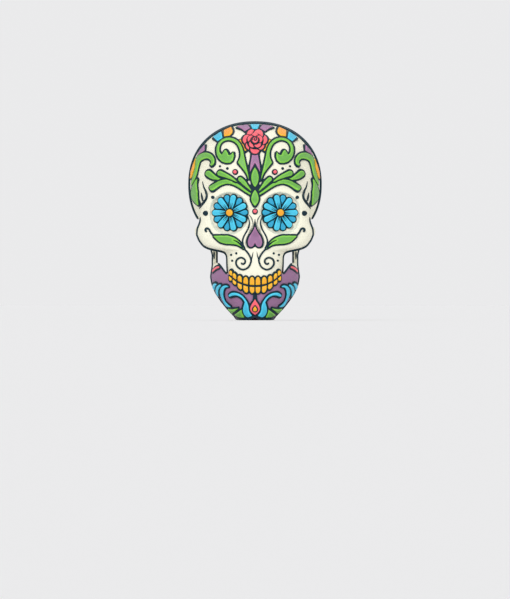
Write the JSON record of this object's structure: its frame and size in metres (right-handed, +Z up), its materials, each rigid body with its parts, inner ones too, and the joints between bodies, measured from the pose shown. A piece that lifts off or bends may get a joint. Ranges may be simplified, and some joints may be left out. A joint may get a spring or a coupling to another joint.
{
  "type": "sugar skull",
  "caption": "Life-size decorated sugar skull: a hollow cranium tips back on hinge pins over a flat-based jaw, with flower eyes, leaves, scrolls, a rose and gold teeth.",
  "frame": {"origin": "on the resting plane under the middle of the bounding box", "axes": "+Z up, the face looks along -Y, +X towards the viewer's right hand"},
  "size_m": [0.148, 0.1838, 0.22],
  "materials": {
    "cast_cream": "cast resin with a fine sugar-grain surface",
    "cast_purple": "cast resin painted purple, fine sugar grain",
    "tooth_gold": "gloss icing",
    "icing_ink": "dark teal icing, satin",
    "icing_green": "green icing, satin, lighter at the rim",
    "icing_purple": "purple icing, satin",
    "icing_light_blue": "light blue icing, satin",
    "icing_deep_blue": "deeper blue icing, satin",
    "icing_red": "coral red icing, satin",
    "icing_orange": "orange icing, gloss",
    "pin_steel": "brushed steel"
  },
  "bodies": {
    "jaw": {"jaw": "cast_purple", "lower_teeth": "tooth_gold", "chin_drop": "icing_red", "left_jaw_curl": "icing_light_blue", "right_jaw_curl": "icing_light_blue", "left_jaw_wave": "icing_light_blue", "right_jaw_wave": "icing_light_blue", "left_chin_leaf": "icing_green", "right_chin_leaf": "icing_green", "jaw_backing": "icing_ink", "chin_bead": "icing_orange", "left_jaw_band": "icing_red", "right_jaw_band": "icing_red"},
    "skull": {"face_shell": "cast_cream", "back_shell": "cast_cream", "seam_bead": "icing_ink", "left_hinge_pin": "pin_steel", "left_hinge_washer": "pin_steel", "right_hinge_pin": "pin_steel", "right_hinge_washer": "pin_steel", "upper_teeth": "tooth_gold", "left_eye_backing": "icing_ink", "left_eye_outer_petals": "icing_deep_blue", "left_eye_inner_petals": "icing_light_blue", "left_eye_button": "icing_orange", "right_eye_backing": "icing_ink", "right_eye_outer_petals": "icing_deep_blue", "right_eye_inner_petals": "icing_light_blue", "right_eye_button": "icing_orange", "nose_backing": "icing_ink", "nose_heart": "icing_purple", "rose_outer": "icing_red", "centre_leaf": "icing_green", "bud": "icing_purple", "left_fan": "icing_green", "right_fan": "icing_green", "left_scroll": "icing_green", "right_scroll": "icing_green", "left_temple_vine": "icing_green", "right_temple_vine": "icing_green", "crown_tile_1": "icing_purple", "crown_tile_2": "icing_light_blue", "crown_tile_3": "icing_orange", "crown_tile_4": "icing_purple", "crown_tile_5": "icing_light_blue", "crown_tile_6": "icing_purple", "crown_tile_7": "icing_orange", "crown_tile_8": "icing_light_blue", "crown_tile_9": "icing_purple", "forehead_backing": "icing_ink", "crown_backing": "icing_ink", "rose_middle": "icing_red", "rose_heart": "icing_red", "brow_bead": "icing_red", "left_forehead_bead": "icing_red", "right_forehead_bead": "icing_red", "left_cheek_backing": "icing_ink", "left_cheek_leaf": "icing_green", "right_cheek_backing": "icing_ink", "right_cheek_leaf": "icing_green"}
  },
  "joints": [
    {"name": "jaw_hinge", "type": "hinge", "parent": "jaw", "child": "skull", "pos_m": [0, -0.00412, 0.09099], "axis": [-1, 0, 0], "range_deg": [0, 20]}
  ]
}
